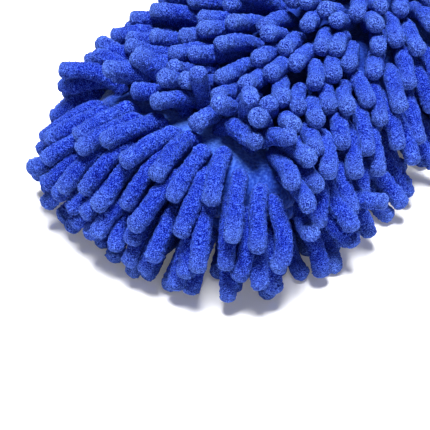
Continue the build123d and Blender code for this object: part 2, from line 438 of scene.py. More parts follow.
def panel_fingers(side):
    """One panel's fingers before they fall: what relax takes, in its order, then rows and sides."""
    roots, numbers, draw = sewn_fingers(side)
    direction, normal = starting_directions(roots, side, draw)
    count = len(roots)
    length = FINGER_LENGTH * draw.normal(1.0, LENGTH_SPREAD, count)
    radius = FINGER_RADIUS * draw.normal(1.0, RADIUS_SPREAD, count)
    touch = np.full(count, TOUCH)
    if side < 0:
        under = np.clip(-plan_distance(roots[:, 0], roots[:, 1]) / 20.0, 0, 1)
        touch -= PALM_PRESS * under
    along = np.linspace(0, 1, FINGER_NODES)[None, :, None]
    start = roots - normal * ROOT_DEPTH
    chain = start[:, None, :] + direction[:, None, :] * along * length[:, None, None]
    chain[..., 2] = np.maximum(chain[..., 2], 2.0)
    # where the pile is level and full, the fingers hold each other up
    upright = np.clip(side * normal[:, 2], 0, 1) ** 2 * (side > 0)
    upright *= np.clip((part_line() - 14.0 - roots[:, 0]) / 20.0, 0, 1)
    fall = FALL * (1 - HELD_UP * upright)
    return chain, direction, length, radius, touch, fall, numbers, np.full(count, side)


def grow_fingers():
    """All the fingers' centre lines at rest, with their row numbers, sides and radii."""
    columns = zip(panel_fingers(1), panel_fingers(-1))
    chain, direction, length, radius, touch, fall, rows, sides = map(np.concatenate, columns)
    steps = 280
    return relax(chain, direction, length, radius, touch, fall, steps), rows, sides, radius


# Finger meshes
def smooth_line(chain, samples):
    """Catmull-Rom curve through each chain, evenly sampled by parameter."""
    nodes = chain.shape[1]
    first = 2 * chain[:, :1] - chain[:, 1:2]
    last = 2 * chain[:, -1:] - chain[:, -2:-1]
    padded = np.concatenate([first, chain, last], axis=1)
    t = np.linspace(0, nodes - 1, samples)
    index = np.minimum(t.astype(int), nodes - 2)
    f = (t - index)[None, :, None]
    p0, p1, p2, p3 = (padded[:, index + k] for k in range(4))
    return 0.5 * (
        2 * p1 + (p2 - p0) * f + (2 * p0 - 5 * p1 + 4 * p2 - p3) * f**2
        + (3 * p1 - p0 - 3 * p2 + p3) * f**3
    )


def carried_frames(line):
    """The lines' directions and two unit vectors across them, carried along without twist."""
    tangent = unit(np.gradient(line, axis=1))
    helper = np.where(np.abs(tangent[:, :1, 2:]) < 0.9, [[[0.0, 0.0, 1.0]]], [[[1.0, 0.0, 0.0]]])
    across = np.zeros_like(line)
    across[:, 0] = unit(np.cross(tangent[:, 0], helper[:, 0]))
    for k in range(1, line.shape[1]):
        moved = across[:, k - 1]
        across[:, k] = unit(moved - tangent[:, k] * np.sum(moved * tangent[:, k], axis=-1, keepdims=True))
    return tangent, across, np.cross(tangent, across)


def blur(values, axis, times, wrap_round):
    """Smooths values along one axis."""
    for _ in range(times):
        after = np.roll(values, -1, axis)
        before = np.roll(values, 1, axis)
        if not wrap_round:
            edge = [slice(None)] * values.ndim
            edge[axis] = -1
            after[tuple(edge)] = values[tuple(edge)]
            edge[axis] = 0
            before[tuple(edge)] = values[tuple(edge)]
        values = 0.5 * values + 0.25 * (after + before)
    return values


def finger_surface(chain, radius, around, rings, draw):
    """Vertices and nub heights of plush fingers, all with the same grid, and their grain."""
    count = len(chain)
    line = smooth_line(chain, rings)
    tangent, across, beside = carried_frames(line)
    angle = np.linspace(0, 2 * math.pi, around, endpoint=False)
    # the tip is a half ball: rings near the end close over it
    length = np.linalg.norm(np.diff(chain, axis=1), axis=2).sum(axis=1)
    s = np.linspace(0, 1, rings)[None, :] * length[:, None]
    to_end = (length[:, None] - s) / radius[:, None]
    closing = np.sqrt(np.clip(1 - np.clip(1 - to_end, 0, 1) ** 2, 0, 1))
    root_swell = 1.0 - 0.10 * np.exp(-s / 5.0)
    uneven = 1 + 0.035 * np.sin(s * 0.35 + draw.uniform(0, 6.28, count)[:, None])
    profile = radius[:, None] * closing * root_swell * uneven
    nub = blur(draw.normal(size=(count, rings, around)), 2, 1, True)
    nub = nub / nub.std()
    spread = np.clip(profile / radius[:, None], 0.15, 1)[:, :, None]
    out = profile[:, :, None] + NUB_HEIGHT * nub * spread
    cosine = np.broadcast_to(np.cos(angle), out.shape)
    sine = np.broadcast_to(np.sin(angle), out.shape)
    radial = across[:, :, None, :] * cosine[..., None] + beside[:, :, None, :] * sine[..., None]
    vertices = line[:, :, None, :] + radial * out[..., None]
    vertices[..., 2] = np.maximum(vertices[..., 2], FLOOR_GAP)
    end = line[:, -1] + tangent[:, -1] * 0.15
    # the same points on a straightened finger, so that the plush keeps its grain round bends
    far = draw.uniform(0, 400, count)[:, None, None]
    straight = np.stack([
        profile[:, :, None] * cosine + far,
        profile[:, :, None] * sine,
        np.broadcast_to(s[:, :, None] * RING_SQUEEZE, out.shape),
    ], axis=-1)
    straight_end = np.stack([far[:, 0, 0], 0 * length, length * RING_SQUEEZE], axis=-1)
    return vertices, nub, end, straight, straight_end


def grid_faces(count, rings, around):
    """Quads of the tubes, and the fan that closes each tip and each root."""
    ring = np.arange(rings - 1)[:, None] * around
    column = np.arange(around)[None, :]
    after = (column + 1) % around
    quads = np.stack(
        [ring + column, ring + after, ring + around + after, ring + around + column], axis=-1
    ).reshape(-1, 4)
    per_finger = rings * around + 2
    tip = rings * around
    root = tip + 1
    last = (rings - 1) * around
    flat_column = np.arange(around)
    tip_fan = np.stack([last + flat_column, last + (flat_column + 1) % around,
                        np.full(around, tip)], axis=-1)
    root_fan = np.stack([(flat_column + 1) % around, flat_column, np.full(around, root)], axis=-1)
    fans = np.concatenate([tip_fan, root_fan])
    base = (np.arange(count) * per_finger)[:, None, None]
    return (quads[None] + base).reshape(-1, 4), (fans[None] + base).reshape(-1, 3)


def make_mesh(name, vertices, quads, triangles=None):
    """Mesh object in metres from arrays in millimetres."""
    mesh = bpy.data.meshes.new(name)
    vertices = np.asarray(vertices, np.float32).reshape(-1, 3) * MM
    if triangles is None:
        triangles = np.zeros((0, 3), int)
    loops = np.concatenate([quads.ravel(), triangles.ravel()]).astype(np.int32)
    starts = np.concatenate([
        np.arange(len(quads)) * 4,
        len(quads) * 4 + np.arange(len(triangles)) * 3,
    ]).astype(np.int32)
    mesh.vertices.add(len(vertices))
    mesh.vertices.foreach_set("co", vertices.ravel())
    mesh.loops.add(len(loops))
    mesh.loops.foreach_set("vertex_index", loops)
    mesh.polygons.add(len(starts))
    mesh.polygons.foreach_set("loop_start", starts)
    mesh.update(calc_edges=True)
    mesh.polygons.foreach_set("use_smooth", np.ones(len(starts), bool))
    mesh.validate()
    piece = bpy.data.objects.new(name, mesh)
    bpy.context.scene.collection.objects.link(piece)
    return piece


def add_value(piece, name, values):
    """Number for each of a piece's points, which its material reads by name."""
    layer = piece.data.attributes.new(name, "FLOAT", "POINT")
    layer.data.foreach_set("value", np.asarray(values, np.float32).ravel())


def add_vector(piece, name, values):
    """Vector for each of a piece's points, which its material reads by name."""
    layer = piece.data.attributes.new(name, "FLOAT_VECTOR", "POINT")
    layer.data.foreach_set("vector", np.asarray(values, np.float32).ravel())


def finger_piece(name, chain, radius, fine, random_tone_and_painted_light, draw):
    """One sewn row of fingers as one mesh, with a finer grid where it shows."""
    parts = []
    base = 0
    for chosen, around, rings in ((fine, 44, 58), (~fine, 20, 26)):
        if not chosen.any():
            continue
        part = chain[chosen]
        count = len(part)
        vertices, height, end, straight, straight_end = finger_surface(
            part, radius[chosen], around, rings, draw
        )
        packed = np.concatenate([vertices.reshape(count, -1, 3), end[:, None], part[:, :1]], axis=1)
        nubs = np.concatenate([height.reshape(count, -1), np.zeros((count, 2))], axis=1)
        grain = np.concatenate(
            [straight.reshape(count, -1, 3), straight_end[:, None], straight_end[:, None]], axis=1
        )
        # painted highlight: 0 until this length before the tip, rising to 1 at the tip
        painted_tip_light = np.clip((grain[..., 2] / RING_SQUEEZE - FINGER_LENGTH + TIP_HIGHLIGHT_LENGTH) / TIP_HIGHLIGHT_LENGTH, 0, 1)
        tones = np.repeat(random_tone_and_painted_light[chosen], packed.shape[1])
        quads, fans = grid_faces(count, rings, around)
        parts.append((packed.reshape(-1, 3), quads + base, fans + base,
                      nubs.ravel(), tones, painted_tip_light.ravel(), grain.reshape(-1, 3)))
        base += packed.shape[0] * packed.shape[1]
    vertices, quads, fans, nubs, tones, painted_tip_light, grain = map(np.concatenate, zip(*parts))
    piece = make_mesh(name, vertices, quads, fans)
    add_value(piece, "nub", nubs)
    add_value(piece, "random_tone_and_painted_light", tones)
    # the tip attribute carries the painted highlight on the fingers' ends
    add_value(piece, "tip", painted_tip_light)
    add_vector(piece, "plush", grain)
    return piece


# Materials
class Nodes:
    """Short way to build a material's nodes. A value is a node's output, a number or a colour."""

    def __init__(self, name):
        self.material = bpy.data.materials.new(name)
        self.material.use_nodes = True
        self.tree = self.material.node_tree
        self.shader = self.tree.nodes["Principled BSDF"]

    def feed(self, socket, value):
        """Links an output to a socket, or sets the socket's own number or colour."""
        if isinstance(value, bpy.types.NodeSocket):
            self.tree.links.new(value, socket)
        else:
            socket.default_value = (*value, 1.0) if isinstance(value, tuple) else value

    def add(self, kind, inputs=None, **settings):
        node = self.tree.nodes.new(kind)
        for key, value in settings.items():
            setattr(node, key, value)
        for key, value in (inputs or {}).items():
            self.feed(node.inputs[key], value)
        return node

    def attribute(self, name, output="Fac"):
        return self.add("ShaderNodeAttribute", attribute_name=name).outputs[output]

    def cloth(self):
        """Distances across and along the cloth, in millimetres."""
        node = self.add("ShaderNodeSeparateXYZ", {"Vector": self.attribute("cloth", "Vector")})
        return node.outputs["X"], node.outputs["Y"]

    def position(self):
        return self.add("ShaderNodeTexCoord").outputs["Object"]

    def noise(self, scale, detail=3.0, place=None):
        inputs = {"Scale": scale, "Detail": detail, "Vector": place or self.position()}
        return self.add("ShaderNodeTexNoise", inputs).outputs["Fac"]

    def nubs(self, scale):
        """1 on the top of each rounded nub, falling to 0 between them."""
        cells = self.add("ShaderNodeTexVoronoi", {"Scale": scale, "Vector": self.position()})
        return self.span(cells.outputs["Distance"], 0.75, 0.0)

    def ramp(self, source, stops):
        node = self.add("ShaderNodeValToRGB", {"Fac": source})
        ramp = node.color_ramp
        while len(ramp.elements) < len(stops):
            ramp.elements.new(0.5)
        for element, (place, colour) in zip(ramp.elements, stops):
            element.position = place
            element.color = (*colour, 1.0)
        return node.outputs["Color"]

    def math(self, operation, first, second=0.0):
        return self.add("ShaderNodeMath", {0: first, 1: second}, operation=operation).outputs["Value"]

    def total(self, *terms):
        """Sum of (source, weight) pairs."""
        parts = [source if weight == 1 else self.math("MULTIPLY", source, weight)
                 for source, weight in terms]
        return functools.reduce(lambda first, second: self.math("ADD", first, second), parts)

    def wave(self, source, pitch=1.0):
        """Sine that repeats once in each pitch."""
        return self.math("SINE", self.math("MULTIPLY", source, 2 * math.pi / pitch))

    def span(self, source, low, high):
        """source moved from low..high to 0..1."""
        inputs = {"From Min": low, "From Max": high, "Value": source}
        return self.add("ShaderNodeMapRange", inputs).outputs["Result"]

    def mix(self, share, first, second):
        return self.add("ShaderNodeMix", {"Factor": share, 6: first, 7: second}, data_type="RGBA").outputs[2]

    def bump(self, source, strength, distance_mm):
        inputs = {"Strength": strength, "Distance": distance_mm * MM, "Height": source}
        self.feed(self.shader.inputs["Normal"], self.add("ShaderNodeBump", inputs).outputs["Normal"])

    def surface(self, colour, roughness, sheen=0.0, sheen_rough=0.4, tint=(1, 1, 1)):
        finish = {
            "Base Color": colour, "Roughness": roughness, "Specular IOR Level": CLOTH_SPECULAR,
            "Sheen Weight": sheen, "Sheen Roughness": sheen_rough, "Sheen Tint": tint,
        }
        for key, value in finish.items():
            self.feed(self.shader.inputs[key], value)
        return self.material


def chenille_material():
    """Royal blue plush: short dark dashes between the nubs, painted darker as shade in the pits, and a
    painted highlight on the tips.
    """
    n = Nodes("chenille_plush")
    grain = n.attribute("plush", "Vector")
    pits = n.span(n.noise(1.9, 1.5, grain), 0.38, 0.62)
    broad = n.noise(0.22, 2.0, grain)
    # the ramp paints shade: the plush's dark dashes lie in the pits between the nubs and are painted darker
    # there, with the nub tops painted paler
    height = n.total((pits, 1), (n.attribute("nub"), 0.08), (broad, 0.30), (n.attribute("random_tone_and_painted_light"), 0.10))
    body = n.ramp(n.span(height, 0.0, 1.35), [
        (0.0, (0.0005, 0.002, 0.100)),
        (0.34, (0.002, 0.008, 0.220)),
        (0.64, (0.008, 0.031, 0.450)),
        (1.0, (0.070, 0.155, 0.780)),
    ])
    # painted highlight on the tips, on the nub tops only
    lit = n.math("ADD", n.math("MULTIPLY", pits, 0.42), 0.01)
    painted_tip_highlight_blue = (0.200, 0.370, 0.940)
    colour = n.mix(n.math("MULTIPLY", lit, n.attribute("tip")), body, painted_tip_highlight_blue)
    n.bump(height, 1.0, 0.40)
    return n.surface(colour, 0.9, 0.24, 0.3, (0.22, 0.48, 1.0))


def backing_material():
    """Short plush cloth between the fingers, painted a paler blue where the pile is parted and light reaches
    it, and painted in shade under the full pile.
    """
    n = Nodes("backing_plush")
    nap = n.span(n.noise(850.0, 4.0), 0.35, 0.65)
    height = n.total((nap, 0.4), (n.noise(110.0, 3.0), 0.5))
    # the attribute adds painted light where the pile parts, and leaves painted shade under the full pile
    colour = n.ramp(n.span(n.total((height, 1), (n.attribute("random_tone_and_painted_light"), 0.5)), 0.2, 1.25), [
        (0.0, (0.002, 0.009, 0.130)),
        (0.4, (0.012, 0.042, 0.300)),
        (1.0, (0.065, 0.160, 0.620)),
    ])
    n.bump(height, 0.9, 0.6)
    return n.surface(colour, 0.95, 0.45, 0.4, (0.5, 0.68, 1.0))


def foam_material():
    """Open-celled foam."""
    n = Nodes("foam_cells")
    cells = n.nubs(700.0)
    colour = n.ramp(cells, [(0.1, (0.48, 0.46, 0.38)), (0.8, (0.80, 0.78, 0.70))])
    n.bump(cells, 0.6, 0.3)
    return n.surface(colour, 0.95)


def knit_material():
    """Rib knit: columns of V-shaped stitches along the cuff."""
    column_width, stitch_length = 1.6, 1.25
    n = Nodes("rib_knit")
    around, along = n.cloth()
    leg = n.math("PINGPONG", n.math("DIVIDE", around, column_width), 0.5)
    phase = n.math("ADD", n.math("DIVIDE", along, stitch_length), n.math("MULTIPLY", leg, 1.5))
    height = n.total((n.wave(phase), 0.25), (n.wave(leg), 0.5), (n.noise(1400.0, 2.0), 0.5))
    colour = n.ramp(n.span(height, -0.1, 1.0), [
        (0.0, (0.003, 0.010, 0.090)),
        (0.5, (0.010, 0.030, 0.240)),
        (1.0, (0.030, 0.080, 0.420)),
    ])
    n.bump(height, 0.7, 0.35)
    return n.surface(colour, 0.88, 0.2, 0.35, (0.5, 0.65, 1.0))


def weave_material(name, dark, light, pitch):
    """Plain weave: threads over and under each other."""
    n = Nodes(name)
    across, along = n.cloth()
    crossing = n.math("MULTIPLY", n.wave(across, pitch), n.wave(along, pitch))
    height = n.math("ADD", crossing, n.noise(1800.0, 2.0))
    colour = n.ramp(n.span(height, -0.4, 1.5), [(0.1, dark), (0.8, light)])
    n.bump(height, 0.6, 0.2)
    return n.surface(colour, 0.7, 0.15, 0.35)


def elastic_material():
    """Covered elastic with fine lengthwise ribs."""
    rib_pitch = 0.9
    n = Nodes("elastic_ribs")
    _, along = n.cloth()
    height = n.total((n.wave(along, rib_pitch), 0.5), (n.noise(1500.0, 2.0), 1))
    colour = n.ramp(n.span(height, -0.2, 1.2), [(0.1, (0.52, 0.52, 0.48)), (0.8, (0.76, 0.76, 0.72))])
    n.bump(height, 0.5, 0.15)
    return n.surface(colour, 0.6)


def thread_material():
    """Twisted sewing thread."""
    n = Nodes("sewing_thread")
    strands = n.noise(2600.0, 2.0)
    colour = n.ramp(strands, [(0.3, (0.008, 0.022, 0.180)), (0.7, (0.035, 0.085, 0.420))])
    n.bump(strands, 0.6, 0.1)
    return n.surface(colour, 0.55, 0.2, 0.3)


def plain_cloth(name, dark, light, scale):
    """Cloth with a fine uneven grain."""
    n = Nodes(name)
    grain = n.noise(scale, 4.0)
    colour = n.ramp(grain, [(0.3, dark), (0.7, light)])
    n.bump(grain, 0.4, 0.3)
    return n.surface(colour, 0.85, 0.15)


# Pile and cloth layers
def give(piece, material, slot, body, *nodes):
    """Finishes a piece: material, CAD body and the CAD nodes that it stands for. The slot argument is not
    used.
    """
    piece.data.materials.append(material)
    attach(piece, body)
    if nodes:
        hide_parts(*nodes)


def chenille_rows():
    """The sewn rows of fingers, one piece for each CAD row."""
    rim_width = 6.0            # the palm's fingers show within this of the outline
    chain, rows, sides, radius = grow_fingers()
    draw = np.random.default_rng(SEED + 40)
    material = chenille_material()
    for side, word in ((1, "top"), (-1, "bottom")):
        for number in range(1, ROW_COUNT + 1):
            chosen = (rows == number) & (sides == side)
            part = chain[chosen]
            outer = plan_distance(part[:, 0, 0], part[:, 0, 1]) > -rim_width
            # each finger's own random tone; on the backing the same attribute carries painted light
            random_tone_and_painted_light = draw.uniform(0, 1, len(part))
            piece = finger_piece(
                f"fingers_{word}_{number:02d}", part, radius[chosen], outer | (side > 0), random_tone_and_painted_light, draw
            )
            give(piece, material, "chenille", BODY, f"chenille_row_{word}_{number:02d}")


def rays_to_edge(turn, limit):
    """Where rays from the middle line meet the plan moved out by limit(x, y)."""
    aim_x = np.cos(turn)
    aim_y = np.sin(turn)
    spine_low = NECK_X + 30.0
    spine_high = TIP_X - 45.0
    start_x = spine_low + (spine_high - spine_low) * (1 + aim_x) / 2
    near = np.zeros(len(turn))
    far = np.full(len(turn), 300.0)
    for _ in range(40):
        middle = (near + far) / 2
        reach_x = start_x + aim_x * middle
        reach_y = aim_y * middle
        out = plan_distance(reach_x, reach_y) > limit(reach_x, reach_y)
        far = np.where(out, middle, far)
        near = np.where(out, near, middle)
    return start_x, aim_x * near, aim_y * near


def panel_grid(side, step):
    """Rays and rings of a panel's flat cut, wrapped on the body."""
    rays = 2 * int((TIP_X - NECK_X + 2 * HALF_WIDTH) / step)
    rings = int(HALF_WIDTH / step)
    turn = np.linspace(0, 2 * math.pi, rays, endpoint=False)
    start_x, run_x, run_y = rays_to_edge(turn, lambda x, y: panel_margin(x, y, side))
    share = np.linspace(0, 1, rings)[:, None]
    point, _ = wrap(start_x + run_x * share, run_y * share, side)
    return point


def clear_of_cuff(points, side, clearance):
    """Which points lie in the cuff's hole, and the same points moved to the hole's edge."""
    core = CUFF_HIGH[1] - CUFF_HALF_HEIGHT
    level = points[:, 2] - SEAM_Z
    core_y = np.clip(points[:, 1], -core, core)
    away = np.stack([points[:, 1] - core_y, np.where(side * level > 0.01, level, side * 0.01)], -1)
    distance = np.linalg.norm(away, axis=1)
    inside = (distance < CUFF_HALF_HEIGHT + clearance) & (points[:, 0] < NECK_X + EDGE_ROUND + 4)
    edge = points.copy()
    scale = (CUFF_HALF_HEIGHT + clearance) / distance
    edge[:, 1] = core_y + away[:, 0] * scale
    edge[:, 2] = SEAM_Z + away[:, 1] * scale
    return inside, np.where(inside[:, None], edge, points)


def short_of_cuff(points, _side, clearance):
    """Which points lie behind the cuff's inner end, and the same points moved to that plane."""
    limit = CUFF_HIGH[0] + clearance
    inside = points[:, 0] < limit
    edge = points.copy()
    edge[:, 0] = np.maximum(edge[:, 0], limit)
    return inside, edge


def closed_layer(faces, size):
    """Quads of both skins and of the walls along every open edge. The first skin has size points."""
    edges = np.concatenate([faces[:, [k, (k + 1) % 4]] for k in range(4)])
    key = edges[:, 0] * size + edges[:, 1]
    back = edges[:, 1] * size + edges[:, 0]
    start, stop = edges[~np.isin(key, back)].T
    walls = np.stack([stop, start, start + size, stop + size], axis=-1)
    return np.concatenate([faces, faces[:, ::-1] + size, walls])


def panel_piece(name, side, depth, thickness, step, waviness, rim_gap, opening, clearance):
    """Closed layer that follows the body at a depth, with the cuff's opening left out."""
    point = panel_grid(side, step)
    rings, rays = point.shape[:2]
    normal = surface_normal(body_distance, point)
    wave = flow(point, 9.0, SEED + 70)[..., 0] * waviness
    tuck = SEAM_TUCK * np.exp(-np.abs(point[..., 2] - SEAM_Z) / 1.6)
    low = depth - wave + tuck
    outer = (point - normal * low[..., None]).reshape(-1, 3)
    inner = (point - normal * (low + thickness)[..., None]).reshape(-1, 3)
    removed, outer = opening(outer, side, clearance)
    _, moved = opening(inner, side, clearance)
    inner = np.where(removed[:, None], moved, inner)
    for skin in (outer, inner):
        skin[:, 2] = SEAM_Z + side * np.maximum(side * (skin[:, 2] - SEAM_Z), rim_gap / 2)
    # rays that leave the middle line on opposite sides share their first point
    index = np.arange(rings * rays).reshape(rings, rays)
    index[0] = np.minimum(np.arange(rays), (rays - np.arange(rays)) % rays)
    after = np.roll(index, -1, axis=1)
    faces = np.stack([index[:-1], index[1:], after[1:], after[:-1]], axis=-1).reshape(-1, 4)
    quads = closed_layer(faces[~removed[faces].all(axis=1)], rings * rays)
    if side < 0:
        quads = quads[:, ::-1]
    used, quads = np.unique(quads, return_inverse=True)
    piece = make_mesh(name, np.concatenate([outer, inner])[used], quads.reshape(-1, 4))
    return piece, flat_cut(side, depth, opening, clearance)


def flat_cut(side, depth, opening, clearance):
    """Width, length and area, in metres, of the flat cut of a layer at a depth."""
    turn = np.linspace(0, 2 * math.pi, 720, endpoint=False)
    start_x, run_x, run_y = rays_to_edge(
        turn, lambda x, y: panel_margin(x, y, side) - depth * math.pi / 2
    )
    level = np.full(len(turn), SHELL_TOP_Z if side > 0 else PALM_Z)
    _, rim = opening(np.stack([start_x + run_x, run_y, level], axis=-1), side, clearance)
    x, y = rim[:, 0], rim[:, 1]
    area = abs(np.sum(x * np.roll(y, -1) - y * np.roll(x, -1))) / 2
    return float(np.ptp(y)) * MM, float(np.ptp(x)) * MM, float(area) * MM * MM


def painted_parting_light(piece, side):
    """Painted light: 1 where the pile lies open and light reaches the cloth, 0 under the full pile, where
    the cloth is painted in shade.
    """
    place = np.empty(3 * len(piece.data.vertices), np.float32)
    piece.data.vertices.foreach_get("co", place)
    from_part = place[::3] / MM - part_line()
    from_middle = place[1::3] / MM
    return (side > 0) * np.exp(-((from_part - 2.0) / 13.0) ** 2 - (from_middle / 40.0) ** 4)


def layers():
    """Foam, backing cloth and lining of both sides."""
    cloth = backing_material()
    foam = foam_material()
    inner = plain_cloth("lining_tricot", (0.018, 0.045, 0.240), (0.030, 0.075, 0.340), 1500.0)
    for side, word in ((1, "top"), (-1, "bottom")):
        pad, _ = panel_piece(
            f"foam_{word}", side, FOAM_DEPTH, FOAM_THICKNESS,
            step=2.8, waviness=0.0, rim_gap=2.6, opening=clear_of_cuff, clearance=FOAM_CLEARANCE,
        )
        give(pad, foam, "foam", BODY, f"{word}_foam_pad")
        backing, (width, length, area) = panel_piece(
            f"backing_{word}", side, 0.0, SHELL_THICKNESS,
            step=2.2, waviness=0.35, rim_gap=0.04, opening=clear_of_cuff, clearance=BACKING_CLEARANCE,
        )
        # painted light: the backing is painted paler at the parting and in shade under the full pile
        add_value(backing, "random_tone_and_painted_light", painted_parting_light(backing, side))
        give(backing, cloth, "backing_cloth", BODY, f"{word}_shell")
        pocket, (width, length, area) = panel_piece(
            f"pocket_lining_{word}", side, LINING_DEPTH, LINING_THICKNESS,
            step=2.8, waviness=0.0, rim_gap=0.6, opening=short_of_cuff, clearance=LINING_CLEARANCE,
        )
        give(pocket, inner, "lining", BODY, f"{word}_lining")


# Rings of the cuff, tapes, loop, label and stitches
def stadium(half_width, half_height, count):
    """Points evenly round a stadium-shaped ring in the YZ plane, outward normals, distances."""
    straight = 2 * (half_width - half_height)
    half = straight + math.pi * half_height
    s = np.arange(count) / count * 2 * half
    turn = np.where(s < half, 1.0, -1.0)[:, None]
    t = s % half
    angle = math.pi / 2 - np.clip(t - straight, 0, None) / half_height
    y = np.minimum(t, straight) - straight / 2 + half_height * np.cos(angle)
    ring = np.stack([y, half_height * np.sin(angle)], axis=-1) * turn
    normal = np.stack([np.cos(angle), np.sin(angle)], axis=-1) * turn
    return ring, normal, s


def ring_piece(name, node, profile, count, swell=None):
    """Closed ring round the X axis. profile is a closed loop of (x, depth under the surface)."""
    low, high = box_mm(node)
    half_height = (high[2] - low[2]) / 2
    half_width = (high[1] - low[1]) / 2
    ring, normal, s = stadium(half_width, half_height, count)
    depth = np.broadcast_to(profile[:, 1], (count, len(profile))).copy()
    if swell is not None:
        depth -= swell(s[:, None], profile[None, :, 0], s[-1] + s[1])
    x = np.broadcast_to(profile[:, 0], depth.shape)
    y = ring[:, None, 0] - normal[:, None, 0] * depth
    z = ring[:, None, 1] - normal[:, None, 1] * depth + (low[2] + high[2]) / 2
    vertices = np.stack([x, y, z], axis=-1)
    index = np.arange(depth.size).reshape(depth.shape)
    beside = np.roll(index, -1, axis=0)
    after = np.roll(index, -1, axis=1)
    both = np.roll(beside, -1, axis=1)
    quads = np.stack([index, after, both, beside], axis=-1).reshape(-1, 4)
    piece = make_mesh(name, vertices, quads)
    cloth = np.stack([np.broadcast_to(s[:, None], x.shape), x, depth], axis=-1)
    add_vector(piece, "cloth", cloth)
    return piece


def squarish(count, power):
    """Points round a square with rounded corners, from -1 to 1 each way."""
    turn = np.linspace(0, 2 * math.pi, count, endpoint=False)
    return [np.sign(wave) * np.abs(wave) ** power for wave in (np.cos(turn), np.sin(turn))]


def band_profile(low_x, high_x, thickness):
    """Flat band's section with softened corners."""
    across, through = squarish(40, 0.45)
    x = (low_x + high_x) / 2 + across * (high_x - low_x) / 2
    return np.stack([x, thickness / 2 * (1 - through)], axis=-1)


def cuff_profile():
    """Knitted tube folded back on itself at the mouth, with a slot between the two plies."""
    mouth = CUFF_LOW[0]
    end = CUFF_HIGH[0]
    radius = CUFF_WALL / 2
    fold = np.linspace(0, math.pi, 11)[1:-1]
    outside = [(x, 0.0) for x in np.linspace(end, mouth + radius, 46)]
    bend = [(mouth + radius - radius * math.sin(a), radius - radius * math.cos(a)) for a in fold]
    inside = [(x, CUFF_WALL) for x in np.linspace(mouth + radius, end, 34)]
    slot_in = [(x, CUFF_WALL - CUFF_PLY) for x in np.linspace(end, mouth + CUFF_PLY, 8)]
    slot_out = [(x, CUFF_PLY) for x in np.linspace(mouth + CUFF_PLY, end, 8)]
    return np.array(outside + bend + inside + slot_in + slot_out)


def rib_swell(s, x, around):
    """Ribs along the cuff, deeper where the elastic gathers it."""
    ribs = round(around / RIB_PITCH)
    gathered = np.exp(-((x - CUFF_LOW[0] - 9.0) / 7.0) ** 2)
    wobble = 0.25 * np.sin(x * 0.21 + s * 0.05) + 0.25 * np.sin(x * 0.13 - s * 0.11)
    wave = np.sin(2 * math.pi * ribs * s / around + 0.5 * wobble)
    return (0.32 + 0.22 * gathered) * (np.abs(wave) * 2 - 1) + 0.5 * wobble - 0.5 * gathered


def travelled_along(line):
    """Distance from the start to each point of a line."""
    return np.concatenate([[0], np.cumsum(np.linalg.norm(np.diff(line, axis=0), axis=1))])


def swept_piece(name, path, side, up, section):
    """Strip swept along an open path, with closed ends. section is a loop of (side, up)."""
    count = len(section)
    vertices = (
        path[:, None, :]
        + side[:, None, :] * section[None, :, 0, None]
        + up[:, None, :] * section[None, :, 1, None]
    )
    quads, fans = grid_faces(1, len(path), count)
    packed = np.concatenate([vertices.reshape(-1, 3), path[-1:], path[:1]])
    piece = make_mesh(name, packed, quads, fans)
    travelled = travelled_along(path)
    cloth = np.stack([
        np.broadcast_to(section[None, :, 0], (len(path), count)),
        np.broadcast_to(travelled[:, None], (len(path), count)),
        np.broadcast_to(section[None, :, 1], (len(path), count)),
    ], axis=-1).reshape(-1, 3)
    ends = np.array([[0, travelled[-1], 0], [0, 0, 0]])
    add_vector(piece, "cloth", np.concatenate([cloth, ends]))
    return piece


def strap_section(width, thickness, edge_swell=0.0):
    """Flat strap's section, a little thicker along its two edges."""
    across, through = squarish(36, 0.5)
    height = thickness / 2 * (1 + edge_swell * (np.abs(across) > 0.75))
    return np.stack([across * width / 2, through * height], axis=-1)


def seam_outline(inset, spacing):
    """Evenly spaced points round the plan at the seam, from one side of the cuff to the other,
    with the directions along and outward."""
    turn = np.linspace(-math.pi, math.pi, 1200)
    start_x, run_x, run_y = rays_to_edge(turn, lambda x, y: -inset)
    x = start_x + run_x
    keep = (x > CUFF_HIGH[0] + 6.0) | (np.abs(run_y) > CUFF_HIGH[1] + 4.0)
    line = np.stack([x, run_y], axis=-1)[keep]
    travelled = travelled_along(line)
    places = np.arange(0, travelled[-1], spacing)
    even = np.stack([np.interp(places, travelled, line[:, k]) for k in (0, 1)], axis=-1)
    heading = unit(np.gradient(even, axis=0))
    outward = np.stack([heading[:, 1], -heading[:, 0]], axis=-1)
    return even, heading, outward


def lifted(flat, height):
    """Plan points or directions as 3-D ones."""
    return np.concatenate([flat, np.full((len(flat), 1), float(height))], axis=1)


def stitch_piece(name, centre, heading, normal, length, thickness):
    """Threads that rise from the cloth and dip back into it."""
    rings, around = 9, 10
    t = np.linspace(-1, 1, rings)
    rise = thickness * 0.35 * (1 - t**2)
    line = (
        centre[:, None, :] + heading[:, None, :] * (t * length / 2)[None, :, None]
        + normal[:, None, :] * rise[None, :, None]
    )
    radius = thickness / 2 * np.clip(1 - np.abs(t) ** 5, 0.1, 1) ** 0.5
    angle = np.linspace(0, 2 * math.pi, around, endpoint=False)
    beside = np.cross(heading, normal)
    radial = (
        normal[:, None, None, :] * np.cos(angle)[None, None, :, None]
        + beside[:, None, None, :] * np.sin(angle)[None, None, :, None]
    )
    vertices = line[:, :, None, :] + radial * radius[None, :, None, None]
    packed = np.concatenate(
        [vertices.reshape(len(centre), -1, 3), line[:, -1:], line[:, :1]], axis=1
    )
    quads, fans = grid_faces(len(centre), rings, around)
    return make_mesh(name, packed, quads, fans)


